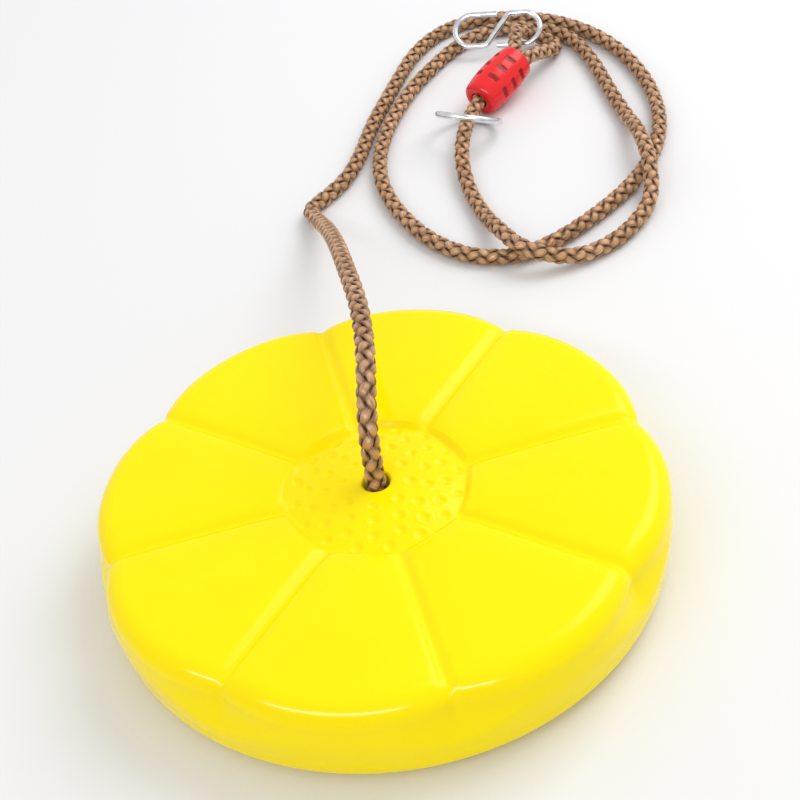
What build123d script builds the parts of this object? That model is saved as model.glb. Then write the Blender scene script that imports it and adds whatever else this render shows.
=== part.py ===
from build123d import *
import math
import os

# Disc rope swing: a hollow moulded flower-shaped seat on one adjustable rope.
# Millimetres.  +Z is up, the seat rests on z = 0 and its centre hole is the Z axis.

# ---------------------------------------------------------------- driving dimensions
ROPE_DIAMETER = 10.0
ROPE_RADIUS = ROPE_DIAMETER / 2

PETALS = 8
SEAT_RADIUS = 140.0          # at the middle of a petal
NOTCH_RADIUS = 133.0         # where two petals meet
NOTCH_ROUNDING = 16.0
NOTCH_FADE_START = 37.0      # below this height the notches run out towards a round body
NOTCH_FADE_TAPER = 17.0
SEAT_HEIGHT = 50.0
TOP_EDGE_RADIUS = 11.0
FOOT_RADIUS = 123.5          # flat ring that the seat stands on
SIDE_LOW = (138.0, 15.0)     # radius and height where the lower rounding ends
SIDE_BULGE = (139.8, 30.0)   # widest point of the side wall
SEAT_WALL = 3.5

GROOVE_WIDE_RADIUS = 45.0    # shallow trough that crowns the petals
GROOVE_WIDE_DEPTH = 1.6
GROOVE_RADIUS = 5.0          # narrow channel along its middle
GROOVE_DEPTH = 3.6
GROOVE_START = 41.0

DOME_APOTHEM = 43.6          # flats of the rounded eight-sided step round the dome
DOME_CORNER_RADIUS = 32.0
DOME_EDGE_HEIGHT = 44.5
DOME_TOP = 50.6

HOLE_RADIUS = 6.6
HOLE_MOUTH_RADIUS = 8.2
RECESS_RADIUS = 29.0         # space under the seat for the washer and the knot
RECESS_DEPTH = 32.0
VENT_RADIUS = 2.0            # blow pin hole through the underside
VENT_AT = 82.0

WASHER_RADIUS = 22.0
WASHER_HOLE_RADIUS = 5.8
WASHER_THICKNESS = 3.0
WASHER_BOTTOM = 24.4

KNOT_RADIUS = 14.0
KNOT_BOTTOM = 2.0
KNOT_TOP = 24.0
KNOT_ROUNDING = 9.0
KNOT_TAIL_LENGTH = 25.0
KNOT_TAIL_HEIGHT = 9.0

BARREL_RADIUS = 14.2
BARREL_END_RADIUS = 12.0
BARREL_LENGTH = 44.0
BARREL_NEAR_ROUNDING = 3.5
BARREL_FAR_ROUNDING = 1.2
BARREL_HOLE_RADIUS = 6.8     # in the near end, for the single strand
BARREL_END_WALL = 4.0
BARREL_BORE_RADIUS = 10.4    # open at the far end, for the two strands
CRIMP_POCKET_RADIUS = 11.3
CRIMP_POCKET = (19.0, 33.0)  # from the near end
BARREL_CENTRE = (13.6, 427.0, 16.3)
BARREL_ANGLE = 57.3          # direction of its axis seen from above, from +X
BARREL_PITCH = 12.0          # its far end is lifted by the two strands
STRAND_OFFSET = 5.05         # the two strands lie side by side in the barrel
SLOT_COLUMNS = 6
SLOT_FIRST_TURN = 26.5       # from the top of the barrel towards +X
SLOT_ROWS = 3
SLOT_PITCH = 9.6
SLOT_MIDDLE = 23.4           # middle row, from the near end
SLOT_WIDTH = 9.0             # round the barrel
SLOT_HEIGHT = 3.8            # along the barrel
SLOT_DEPTH = 1.5

CRIMP_START = 20.0           # from the near end
CRIMP_LENGTH = 12.0
CRIMP_WALL = 1.0
CRIMP_SQUEEZE = 0.3

RING_RADIUS = 20.6           # centre line of the wire
RING_WIRE_RADIUS = 2.25
RING_CENTRE = (-1.8, 383.9, 13.8)
RING_AXIS = (0.150, 0.535, 0.832)

HOOK_WIRE_RADIUS = 2.0
HOOK_LOOP_RADIUS = 12.2      # centre line of each loop of the hook
HOOK_HALF_LENGTH = 18.6      # from the hook's middle to the centre of a loop
HOOK_TIP_GAP = 0.3
HOOK_CROSS = 7.4             # half the run of the slanted middle wire
HOOK_CENTRE = (6.5, 498.0, 16.7)
HOOK_ANGLE = -2.0            # direction of its length seen from above, from +X
HOOK_PITCH = 1.5             # the loop on the rope is lifted
HOOK_TILT = 36.0             # turn about its length; the far side is up

# ---------------------------------------------------------------- rope route
STEM_TOP = 51.0              # the free rope starts in the hole's mouth

# Out of the hole, over the far rim, down to the floor, once and a half round the
# loose coil, through the barrel, round the hook's loop and back into the barrel.
ROUTE = [
    (0, 0, STEM_TOP),
    (0, 0, 73),
    (-1, 12, 90),
    (-4, 38, 99),
    (-15, 81, 93),
    (-34, 135, 77),
    (-51, 186, 55),
    (-69, 235, 31),
    (-82, 265, 15),
    (-91, 282, 8),
    (-96, 294, 5),
    (-86, 310, 5),
    (-77, 329, 5),
    (-72.5, 356, 5),
    (-71, 392, 5),
    (-63.5, 440, 5),
    (-55, 491, 5),
    (-38, 522, 5),
    (-14, 537, 5),
    (20, 537, 5),
    (54, 525, 5),
    (88, 494, 5),
    (113, 445, 5),
    (125, 395, 5),
    (123, 352, 5),
    (109, 313, 5),
    (89, 282, 5),
    (69, 258, 5),
    (46, 240, 5),
    (16, 239, 5),
    (-15, 259, 5),
    (-41, 294, 5),
    (-57, 332, 5),
    (-60.7, 378, 5),
    (-52.5, 431, 5),
    (-39, 468, 5),
    (-25, 497, 5),
    (-4, 520, 5),
    (27, 522, 5),
    (57, 507, 5),
    (75, 472, 5),
    (90, 426, 5),
    (104, 388, 6),
    (112, 358, 16),
    (120, 323, 16),
    (122, 293, 6),
    (108, 262, 5),
    (91, 244, 5),
    (75, 235, 7),
    (57, 231, 13),
    (42, 238.5, 16),
    (31.5, 254.5, 14.5),
    (22, 275, 7),
    (9.5, 301, 5.2),
    (-1, 332, 7.6),
    (-4.2, 361, 10.9),
    (-2.5, 387.5, 11.3),
]


def unit(x, y, z=0.0):
    """The direction (x, y, z) as a vector of length one."""
    return Vector(x, y, z).normalized()


def heading(degrees, pitch):
    """Direction seen from above at an angle from +X and rising by the pitch."""
    turn, rise = math.radians(degrees), math.radians(pitch)
    return Vector(math.cos(turn) * math.cos(rise), math.sin(turn) * math.cos(rise), math.sin(rise))


BARREL_AXIS = heading(BARREL_ANGLE, BARREL_PITCH)
BARREL_LEFT = heading(BARREL_ANGLE + 90, 0)
BARREL_START = Vector(*BARREL_CENTRE) - BARREL_AXIS * (BARREL_LENGTH / 2)


def in_barrel(along, across):
    """A point beside the barrel's axis, from its near end, as a tuple."""
    point = BARREL_START + BARREL_AXIS * along + BARREL_LEFT * across
    return (point.X, point.Y, point.Z)


EYE = [
    in_barrel(2, 0),
    in_barrel(14, STRAND_OFFSET),
    in_barrel(BARREL_LENGTH + 6, STRAND_OFFSET),
    (22.5, 466, 22),
    (21, 480, 21.5),
    (21.8, 492, 18.5),
    (26.5, 500.5, 12),
    (35.3, 503, 6.5),
    (44.2, 499.4, 5),
    (48.8, 491.3, 5),
    (47.6, 481.9, 7.5),
    (42, 469, 13.5),
    (36.5, 457.5, 18.3),
    in_barrel(BARREL_LENGTH + 6, -STRAND_OFFSET),
    in_barrel(CRIMP_START - 1.5, -STRAND_OFFSET),
]


def corner_radii(points):
    """Each corner's arc is as large as its two runs allow."""
    radii = []
    for before, here, after in zip(points, points[1:], points[2:]):
        run_in = Vector(*here) - Vector(*before)
        run_out = Vector(*after) - Vector(*here)
        half_turn = math.radians(run_in.get_angle(run_out)) / 2
        radii.append(0.45 * min(run_in.length, run_out.length) / math.tan(half_turn))
    return radii


def round_tube(path, radius):
    """A round bar along a path."""
    section = Plane(origin=path @ 0, z_dir=path % 0) * Circle(radius)
    return sweep(section, path=path)


# ---------------------------------------------------------------- seat
def polar(radius, degrees, z=0.0):
    angle = math.radians(degrees)
    return (radius * math.cos(angle), radius * math.sin(angle), z)


GROOVE_ANGLES = [360 / PETALS * (index + 0.5) for index in range(PETALS)]


def petal_outline():
    """Flat outline of the eight petals with softly rounded notches."""
    step = 360 / PETALS
    arcs = []
    for index in range(PETALS):
        middle = index * step
        arcs.append(
            ThreePointArc(
                polar(NOTCH_RADIUS, middle - step / 2),
                polar(SEAT_RADIUS, middle),
                polar(NOTCH_RADIUS, middle + step / 2),
            )
        )
    outline = Sketch() + make_face(Curve() + arcs)
    return fillet(outline.vertices(), NOTCH_ROUNDING)


def revolved(lines):
    """A solid turned about Z from closed lines in the XZ plane."""
    return revolve(make_face(lines), Axis.Z)


def seat_side():
    """Round body with the bulging side wall and the rounded lower edge."""
    top = SEAT_HEIGHT + 2
    lower_middle = (FOOT_RADIUS + 11.5, 4.2)
    lines = Curve() + [
        Line((0, 0, 0), (FOOT_RADIUS, 0, 0)),
        ThreePointArc((FOOT_RADIUS, 0, 0), (lower_middle[0], 0, lower_middle[1]), (SIDE_LOW[0], 0, SIDE_LOW[1])),
        ThreePointArc((SIDE_LOW[0], 0, SIDE_LOW[1]), (SIDE_BULGE[0], 0, SIDE_BULGE[1]), (138.6, 0, top)),
        Line((138.6, 0, top), (0, 0, top)),
        Line((0, 0, top), (0, 0, 0)),
    ]
    return revolved(lines)


def seat_cavity():
    """The hollow inside the moulding, one wall thickness in from its skin."""
    wall = SEAT_WALL
    inner = RECESS_RADIUS + wall
    points = [
        (inner, wall),
        (FOOT_RADIUS - 4, wall),
        (NOTCH_RADIUS - wall, SIDE_LOW[1]),
        (NOTCH_RADIUS - wall, SEAT_HEIGHT - 15),
        (NOTCH_RADIUS - 11, SEAT_HEIGHT - GROOVE_DEPTH - wall),
        (DOME_APOTHEM + 7, SEAT_HEIGHT - GROOVE_DEPTH - wall),
        (DOME_APOTHEM, DOME_EDGE_HEIGHT - wall),
        (HOLE_MOUTH_RADIUS + wall, DOME_TOP - 1.5 * wall),
        (HOLE_MOUTH_RADIUS + wall, RECESS_DEPTH + wall),
        (inner, RECESS_DEPTH + wall),
    ]
    return revolved(Polyline(*[(r, 0, z) for r, z in points], close=True))


def groove_cutters():
    """Radial bars that press the eight grooves into the top."""
    cutters = []
    for degrees in GROOVE_ANGLES:
        for radius, depth in ((GROOVE_WIDE_RADIUS, GROOVE_WIDE_DEPTH), (GROOVE_RADIUS, GROOVE_DEPTH)):
            start = Vector(*polar(GROOVE_START, degrees, SEAT_HEIGHT + radius - depth))
            along = unit(*polar(1, degrees))
            bar = Plane(origin=start, z_dir=along) * Cylinder(
                radius, SEAT_RADIUS, align=(Align.CENTER, Align.CENTER, Align.MIN)
            )
            cutters.append(bar)
    return cutters


def dome():
    """Low round dome in the middle of the seat."""
    edge = DOME_APOTHEM + 8
    middle_height = DOME_TOP - (DOME_TOP - DOME_EDGE_HEIGHT) / 4
    lines = Curve() + [
        ThreePointArc((0, 0, DOME_TOP), (edge / 2, 0, middle_height), (edge, 0, DOME_EDGE_HEIGHT - 0.6)),
        Line((edge, 0, DOME_EDGE_HEIGHT - 0.6), (edge, 0, DOME_EDGE_HEIGHT - 6)),
        Line((edge, 0, DOME_EDGE_HEIGHT - 6), (0, 0, DOME_EDGE_HEIGHT - 6)),
        Line((0, 0, DOME_EDGE_HEIGHT - 6), (0, 0, DOME_TOP)),
    ]
    return revolved(lines)


def centre_pocket():
    """Eight-sided pocket that leaves the dome standing in its floor."""
    flats = RegularPolygon(DOME_APOTHEM, PETALS, major_radius=False, rotation=180 / PETALS)
    flats = fillet(flats.vertices(), DOME_CORNER_RADIUS)
    pocket = Pos(0, 0, DOME_EDGE_HEIGHT - 2) * extrude(flats, SEAT_HEIGHT)
    return pocket - dome()


def petal_body():
    """Petals with a rounded top edge above, widening to cover the round body below."""
    outline = Pos(0, 0, NOTCH_FADE_START) * petal_outline()
    upper = extrude(outline, SEAT_HEIGHT - NOTCH_FADE_START)
    upper = fillet(upper.edges().group_by(Axis.Z)[-1], TOP_EDGE_RADIUS)
    lower = extrude(outline, -NOTCH_FADE_START, taper=-NOTCH_FADE_TAPER)
    return upper + lower


def seat_disc():
    body = petal_body() & seat_side()
    body = body - groove_cutters()
    body = body - centre_pocket()
    body = body - seat_cavity()
    hole = Cylinder(HOLE_RADIUS, 3 * SEAT_HEIGHT)
    mouth = Pos(0, 0, DOME_TOP - 1.6) * Cone(
        HOLE_RADIUS, HOLE_MOUTH_RADIUS, 1.6, align=(Align.CENTER, Align.CENTER, Align.MIN)
    )
    recess = Cylinder(RECESS_RADIUS, RECESS_DEPTH, align=(Align.CENTER, Align.CENTER, Align.MIN))
    vent = Pos(VENT_AT, 0, 0) * Cylinder(VENT_RADIUS, 3 * SEAT_WALL)
    return body - hole - mouth - recess - vent


def seat_washer():
    washer = Cylinder(WASHER_RADIUS, WASHER_THICKNESS, align=(Align.CENTER, Align.CENTER, Align.MIN))
    washer = washer - Cylinder(WASHER_HOLE_RADIUS, 3 * WASHER_THICKNESS)
    return Pos(0, 0, WASHER_BOTTOM) * washer


# ---------------------------------------------------------------- rope
def stopper_knot():
    """Outer shape of the knot under the washer, with its short tail."""
    height = KNOT_TOP - KNOT_BOTTOM
    knot = Cylinder(KNOT_RADIUS, height, align=(Align.CENTER, Align.CENTER, Align.MIN))
    knot = Pos(0, 0, KNOT_BOTTOM) * fillet(knot.edges(), KNOT_ROUNDING)
    tail = Plane(origin=(0, 0, KNOT_TAIL_HEIGHT), z_dir=(0, -1, 0)) * Cylinder(
        ROPE_RADIUS, KNOT_TAIL_LENGTH, align=(Align.CENTER, Align.CENTER, Align.MIN)
    )
    return knot + tail


def rope_stem():
    """The stretch that stands in the seat's hole, from the knot to the mouth."""
    length = STEM_TOP - KNOT_TOP
    stem = Cylinder(ROPE_RADIUS, length, align=(Align.CENTER, Align.CENTER, Align.MIN))
    return Pos(0, 0, KNOT_TOP) * stem


def rope():
    points = ROUTE + EYE
    radii = corner_radii(points)
    for point, radius in zip(points[1:], radii):
        print("corner", [round(value, 1) for value in point], "radius", round(radius, 1))
    path = FilletPolyline(*points, radius=radii)
    tube = round_tube(path, ROPE_RADIUS)
    expected = math.pi * ROPE_RADIUS**2 * path.length
    print("rope length", round(path.length, 1), "volume ratio", round(tube.volume / expected, 4))
    return tube


# ---------------------------------------------------------------- barrel
def barrel_frame():
    """Plane at the barrel's near end: local Z runs along it, local X across to the left."""
    return Plane(origin=BARREL_START, x_dir=BARREL_LEFT, z_dir=BARREL_AXIS)


def barrel_body():
    """Olive-shaped sleeve in its own frame: one hole in the near end, wide open at the far end."""
    half = BARREL_LENGTH / 2
    lines = Curve() + [
        Line((0, 0, 0), (BARREL_END_RADIUS, 0, 0)),
        ThreePointArc((BARREL_END_RADIUS, 0, 0), (BARREL_RADIUS, 0, half), (BARREL_END_RADIUS, 0, BARREL_LENGTH)),
        Line((BARREL_END_RADIUS, 0, BARREL_LENGTH), (0, 0, BARREL_LENGTH)),
        Line((0, 0, BARREL_LENGTH), (0, 0, 0)),
    ]
    body = revolved(lines)
    body = fillet(body.edges().group_by(Axis.Z)[0], BARREL_NEAR_ROUNDING)
    body = fillet(body.edges().group_by(Axis.Z)[-1], BARREL_FAR_ROUNDING)
    start, end = CRIMP_POCKET
    up = (Align.CENTER, Align.CENTER, Align.MIN)
    hole = Cylinder(BARREL_HOLE_RADIUS, 3 * BARREL_END_WALL)
    bore = Pos(0, 0, BARREL_END_WALL) * Cylinder(BARREL_BORE_RADIUS, BARREL_LENGTH, align=up)
    pocket = Pos(0, 0, start) * Cylinder(CRIMP_POCKET_RADIUS, end - start, align=up)
    return body - hole - bore - pocket


def slot_cutters():
    """Shallow rectangular pockets in rows round the barrel."""
    cutters = []
    half = BARREL_LENGTH / 2
    for row in range(SLOT_ROWS):
        along = SLOT_MIDDLE + (row - (SLOT_ROWS - 1) / 2) * SLOT_PITCH
        surface = BARREL_RADIUS - (BARREL_RADIUS - BARREL_END_RADIUS) * ((along - half) / half) ** 2
        for column in range(SLOT_COLUMNS):
            turn = 90 + SLOT_FIRST_TURN + 360 / SLOT_COLUMNS * column
            block = Pos(surface + 5 - SLOT_DEPTH, 0, along) * Box(10, SLOT_WIDTH, SLOT_HEIGHT)
            cutters.append(Rot(0, 0, turn) * block)
    return cutters


def barrel_shell(side):
    """One half of the sleeve: side is +1 above the parting plane and -1 below it."""
    size = 4 * BARREL_RADIUS
    half_space = Pos(0, side * size / 2, BARREL_LENGTH / 2) * Box(size, size, 2 * BARREL_LENGTH)
    half = (barrel_body() - slot_cutters()) & half_space
    return barrel_frame() * half


def rope_crimp():
    """Flat metal clip pressed round the two strands inside the barrel."""
    inner = ROPE_RADIUS - CRIMP_SQUEEZE
    span = 2 * STRAND_OFFSET
    outer_section = SlotCenterToCenter(span, 2 * (inner + CRIMP_WALL))
    inner_section = SlotCenterToCenter(span, 2 * inner)
    clip = extrude(outer_section - inner_section, CRIMP_LENGTH)
    return barrel_frame() * Pos(0, 0, CRIMP_START) * clip


# ---------------------------------------------------------------- steelware
def hanging_ring():
    plane = Plane(origin=RING_CENTRE, z_dir=RING_AXIS)
    return plane * Torus(RING_RADIUS, RING_WIRE_RADIUS)


def hook_frame():
    """Plane of the hook: local X along it, local Y across, raised on its far side."""
    along = heading(HOOK_ANGLE, HOOK_PITCH)
    side = heading(HOOK_ANGLE + 90, 0)
    tilt = math.radians(HOOK_TILT)
    across = side * math.cos(tilt) + along.cross(side) * math.sin(tilt)
    return Plane(origin=HOOK_CENTRE, x_dir=along, z_dir=along.cross(across))


def s_hook():
    """Bent wire hook: two loops joined by a slanted wire, their tips nearly closed."""
    loop = HOOK_LOOP_RADIUS
    reach = HOOK_HALF_LENGTH
    cross = HOOK_CROSS
    gap = HOOK_TIP_GAP
    points = [
        (-gap, loop),
        (-reach - loop, loop),
        (-reach - loop, -loop),
        (-cross, -loop),
        (cross, loop),
        (reach + loop, loop),
        (reach + loop, -loop),
        (gap, -loop),
    ]
    bend = 0.98 * loop
    tight = 5.0
    path = FilletPolyline(*points, radius=[bend, bend, tight, tight, bend, bend])
    wire = round_tube(path, HOOK_WIRE_RADIUS)
    return hook_frame() * wire


# ---------------------------------------------------------------- output
NODES = {
    "seat_disc": seat_disc,
    "seat_washer": seat_washer,
    "stopper_knot": stopper_knot,
    "rope_stem": rope_stem,
    "rope": rope,
    "barrel_shell_upper": lambda: barrel_shell(1),
    "barrel_shell_lower": lambda: barrel_shell(-1),
    "rope_crimp": rope_crimp,
    "hanging_ring": hanging_ring,
    "s_hook": s_hook,
}

os.makedirs("parts", exist_ok=True)
for name, make in NODES.items():
    export_step(make(), f"parts/{name}.step")
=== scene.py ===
"""Disc rope swing: a moulded yellow seat on one plaited rope, laid in a loose coil on a pale floor.

Lengths are in metres, in the same frame as the CAD part: the seat's foot stands on z = 0 and its hole is
the z axis. Pieces replace CAD nodes one for one; the washer and the crimp stay as the CAD has them.
"""

import math

import bpy
import numpy as np
from mathutils import Matrix, Vector


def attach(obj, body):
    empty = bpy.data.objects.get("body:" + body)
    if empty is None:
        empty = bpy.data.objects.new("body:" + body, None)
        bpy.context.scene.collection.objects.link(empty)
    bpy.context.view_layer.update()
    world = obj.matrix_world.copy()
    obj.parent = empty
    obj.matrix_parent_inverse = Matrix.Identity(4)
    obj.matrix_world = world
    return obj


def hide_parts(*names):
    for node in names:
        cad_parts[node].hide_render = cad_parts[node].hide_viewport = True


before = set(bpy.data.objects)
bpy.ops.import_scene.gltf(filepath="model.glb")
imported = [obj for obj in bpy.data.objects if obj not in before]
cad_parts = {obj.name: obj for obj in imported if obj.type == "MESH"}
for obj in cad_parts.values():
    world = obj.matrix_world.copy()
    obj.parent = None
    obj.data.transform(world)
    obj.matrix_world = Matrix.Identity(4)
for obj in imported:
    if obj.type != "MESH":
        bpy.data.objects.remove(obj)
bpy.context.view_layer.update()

TAU = 2 * math.pi
SAME_POINT = 1e-9

# ------------------------------------------------------------------ camera and cord route
VIEW_TARGET = (-0.0115, 0.115, 0.0)
VIEW_AZIMUTH = 14.6
VIEW_ELEVATION = 40.6
VIEW_ROLL = -9.7
VIEW_DISTANCE = 0.884
LENS = 72.0
SENSOR_WIDTH = 36.0

SEAT_HEIGHT = 0.050
STEM_TOP = 0.051
KNOT_TOP = 0.024
NURBS_STEPS = 24

# The rope's route from the hole's mouth to the barrel, as listed control points.
ROUTE = [
    (0, 0, STEM_TOP),
    (0, 0, 0.073),
    (-0.001, 0.012, 0.09),
    (-0.004, 0.038, 0.099),
    (-0.015, 0.081, 0.093),
    (-0.034, 0.135, 0.077),
    (-0.051, 0.186, 0.055),
    (-0.069, 0.235, 0.031),
    (-0.082, 0.265, 0.015),
    (-0.091, 0.282, 0.008),
    (-0.096, 0.294, 0.005),
    (-0.086, 0.31, 0.005),
    (-0.077, 0.329, 0.005),
    (-0.0725, 0.356, 0.005),
    (-0.071, 0.392, 0.005),
    (-0.0635, 0.44, 0.005),
    (-0.055, 0.491, 0.005),
    (-0.038, 0.522, 0.005),
    (-0.014, 0.537, 0.005),
    (0.02, 0.537, 0.005),
    (0.054, 0.525, 0.005),
    (0.088, 0.494, 0.005),
    (0.113, 0.445, 0.005),
    (0.125, 0.395, 0.005),
    (0.123, 0.352, 0.005),
    (0.109, 0.313, 0.005),
    (0.089, 0.282, 0.005),
    (0.069, 0.258, 0.005),
    (0.046, 0.24, 0.005),
    (0.016, 0.239, 0.005),
    (-0.015, 0.259, 0.005),
    (-0.041, 0.294, 0.005),
    (-0.057, 0.332, 0.005),
    (-0.0607, 0.378, 0.005),
    (-0.0525, 0.431, 0.005),
    (-0.039, 0.468, 0.005),
    (-0.025, 0.497, 0.005),
    (-0.004, 0.52, 0.005),
    (0.027, 0.522, 0.005),
    (0.057, 0.507, 0.005),
    (0.075, 0.472, 0.005),
    (0.09, 0.426, 0.005),
    (0.104, 0.388, 0.006),
    (0.112, 0.358, 0.016),
    (0.12, 0.323, 0.016),
    (0.122, 0.293, 0.006),
    (0.108, 0.262, 0.005),
    (0.091, 0.244, 0.005),
    (0.075, 0.235, 0.007),
    (0.057, 0.231, 0.013),
    (0.042, 0.2385, 0.016),
    (0.0315, 0.2545, 0.0145),
    (0.022, 0.275, 0.007),
    (0.0095, 0.301, 0.0052),
    (-0.001, 0.332, 0.0076),
    (-0.0042, 0.361, 0.0109),
    (-0.0025, 0.3875, 0.0113),
]


def heading(degrees, pitch):
    """Direction seen from above at an angle from +X and rising by the pitch."""
    turn, rise = math.radians(degrees), math.radians(pitch)
    return Vector((math.cos(turn) * math.cos(rise), math.sin(turn) * math.cos(rise), math.sin(rise)))


BARREL_RADIUS = 0.0142
BARREL_END_RADIUS = 0.0120
BARREL_LENGTH = 0.044
BARREL_CENTRE = Vector((0.0136, 0.4270, 0.0163))
BARREL_AXIS = heading(57.3, 12)
BARREL_LEFT = heading(147.3, 0)
BARREL_START = BARREL_CENTRE - BARREL_AXIS * (BARREL_LENGTH / 2)
STRAND_OFFSET = 0.00505
CRIMP_START = 0.020
MOUTH_INSET = 0.002
STRAND_SPLIT = 0.014
STRAIGHT_BEYOND = 0.006
END_BEFORE_CRIMP = 0.0015


def in_barrel(along, across):
    """A point beside the barrel's axis, from its near end."""
    return tuple(BARREL_START + BARREL_AXIS * along + BARREL_LEFT * across)


# Through the barrel, round the end loop that holds the hook, and back to the rope's end in the crimp.
EYE = [
    in_barrel(MOUTH_INSET, 0),
    in_barrel(STRAND_SPLIT, STRAND_OFFSET),
    in_barrel(BARREL_LENGTH + STRAIGHT_BEYOND, STRAND_OFFSET),
    (0.0225, 0.466, 0.022),
    (0.021, 0.480, 0.0215),
    (0.0218, 0.492, 0.0185),
    (0.0265, 0.5005, 0.012),
    (0.0353, 0.503, 0.0065),
    (0.0442, 0.4994, 0.005),
    (0.0488, 0.4913, 0.005),
    (0.0476, 0.4819, 0.0075),
    (0.042, 0.469, 0.0135),
    (0.0365, 0.4575, 0.0183),
    in_barrel(BARREL_LENGTH + STRAIGHT_BEYOND, -STRAND_OFFSET),
    in_barrel(CRIMP_START - END_BEFORE_CRIMP, -STRAND_OFFSET),
]


def make_camera():
    """Camera at the reference viewing angle, rolled a little."""
    azimuth, elevation, roll = (math.radians(a) for a in (VIEW_AZIMUTH, VIEW_ELEVATION, VIEW_ROLL))
    ahead = Vector(
        (
            -math.sin(azimuth) * math.cos(elevation),
            math.cos(azimuth) * math.cos(elevation),
            -math.sin(elevation),
        )
    )
    right = Vector((math.cos(azimuth), math.sin(azimuth), 0))
    up = right.cross(ahead)
    rolled_right = right * math.cos(roll) + up * math.sin(roll)
    rolled_up = up * math.cos(roll) - right * math.sin(roll)
    camera = bpy.data.objects.new("camera", bpy.data.cameras.new("camera"))
    bpy.context.scene.collection.objects.link(camera)
    camera.data.lens = LENS
    camera.data.sensor_width = SENSOR_WIDTH
    turn = Matrix((rolled_right, rolled_up, -ahead)).transposed()
    camera.matrix_world = Matrix.Translation(Vector(VIEW_TARGET) - ahead * VIEW_DISTANCE) @ turn.to_4x4()
    bpy.context.scene.camera = camera


def nurbs_points(points):
    """Points along an order-three NURBS spline that the control points pull along."""
    curve = bpy.data.curves.new("route", "CURVE")
    curve.dimensions = "3D"
    spline = curve.splines.new("NURBS")
    spline.points.add(len(points) - 1)
    for target, point in zip(spline.points, points):
        target.co = (*point, 1)
    spline.order_u = 3
    spline.use_endpoint_u = True
    spline.resolution_u = NURBS_STEPS
    holder = bpy.data.objects.new("route", curve)
    bpy.context.scene.collection.objects.link(holder)
    bpy.context.view_layer.update()
    mesh = bpy.data.meshes.new_from_object(holder.evaluated_get(bpy.context.evaluated_depsgraph_get()))
    found = np.array([v.co for v in mesh.vertices], float)
    bpy.data.objects.remove(holder)
    bpy.data.meshes.remove(mesh)
    bpy.data.curves.remove(curve)
    return found


def length_along(points):
    """Distance of each point from the first, measured along the line."""
    return np.concatenate([[0], np.cumsum(np.linalg.norm(np.diff(points, axis=0), axis=1))])


def values_at(places, along, values):
    """Rows of three values, known at along, read off at the given places."""
    return np.stack([np.interp(places, along, values[:, axis]) for axis in range(3)], 1)


def evenly(points, step):
    """The same line with its points about step apart, and no point twice."""
    gaps = np.linalg.norm(np.diff(points, axis=0), axis=1)
    points = points[np.concatenate([[True], gaps > SAME_POINT])]
    along = length_along(points)
    count = max(2, int(round(along[-1] / step)) + 1)
    return values_at(np.linspace(0, along[-1], count), along, points)


def line_frames(points, first_side):
    """Unit tangents and two side vectors that turn with the line without twisting."""
    tangents = np.gradient(points, axis=0)
    tangents /= np.linalg.norm(tangents, axis=1)[:, None]
    sides = np.zeros_like(points)
    side = np.array(first_side, float)
    for index, tangent in enumerate(tangents):
        side = side - tangent * (side @ tangent)
        side /= np.linalg.norm(side)
        sides[index] = side
    return tangents, sides, np.cross(tangents, sides)


# ------------------------------------------------------------------ mesh helpers
def new_mesh(name, vertices, faces, uvs=None, relief=None, smooth=True):
    """A mesh object from arrays; uvs and relief each hold one pair for each vertex."""
    mesh = bpy.data.meshes.new(name)
    mesh.from_pydata(np.asarray(vertices).tolist(), [], [tuple(f) for f in faces])
    for layer_name, pairs in (("along", uvs), ("relief", relief)):
        if pairs is None:
            continue
        layer = mesh.uv_layers.new(name=layer_name)
        corners = np.zeros(len(mesh.loops), int)
        mesh.loops.foreach_get("vertex_index", corners)
        layer.data.foreach_set("uv", np.asarray(pairs, np.float32)[corners].ravel())
    mesh.polygons.foreach_set("use_smooth", [smooth] * len(mesh.polygons))
    mesh.update()
    made = bpy.data.objects.new(name, mesh)
    bpy.context.scene.collection.objects.link(made)
    return made


def grid_faces(rows, columns, wrap_rows=False, wrap_columns=False, start=0):
    """Quads of a grid whose points are stored row after row."""
    row_count = rows if wrap_rows else rows - 1
    column_count = columns if wrap_columns else columns - 1
    r, c = np.meshgrid(np.arange(row_count), np.arange(column_count), indexing="ij")
    r, c = r.ravel(), c.ravel()
    r2, c2 = (r + 1) % rows, (c + 1) % columns
    corners = (r * columns + c, r * columns + c2, r2 * columns + c2, r2 * columns + c)
    return (start + np.stack(corners, 1)).tolist()


def swept_section(centres, along, across, width, height, sides, start):
    """Points and faces of an oval bar, closed at both ends; width and height may change along it."""
    turns = np.arange(sides) * TAU / sides
    sideways = np.cos(turns)[None, :, None] * np.reshape(width, (-1, 1, 1))
    upwards = np.sin(turns)[None, :, None] * np.reshape(height, (-1, 1, 1))
    up = np.cross(along, across)
    rings = centres[:, None, :] + across[:, None, :] * sideways + up[:, None, :] * upwards
    count = len(centres)
    faces = grid_faces(count, sides, wrap_columns=True, start=start)
    faces.append(list(range(start, start + sides))[::-1])
    faces.append(list(range(start + (count - 1) * sides, start + count * sides)))
    return rings.reshape(-1, 3), faces


def flatten_ends(made):
    """Flat shading on a mesh's last two faces, which close its ends."""
    for face in (-1, -2):
        made.data.polygons[face].use_smooth = False


def smooth_min(a, b, blend):
    """The smaller of two values, rounded off where they cross."""
    return (a + b - np.sqrt((a - b) ** 2 + blend**2)) / 2


def ease(low, high, value):
    """Smooth step from 0 at low to 1 at high."""
    t = np.clip((value - low) / (high - low), 0, 1)
    return t * t * (3 - 2 * t)


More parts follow.
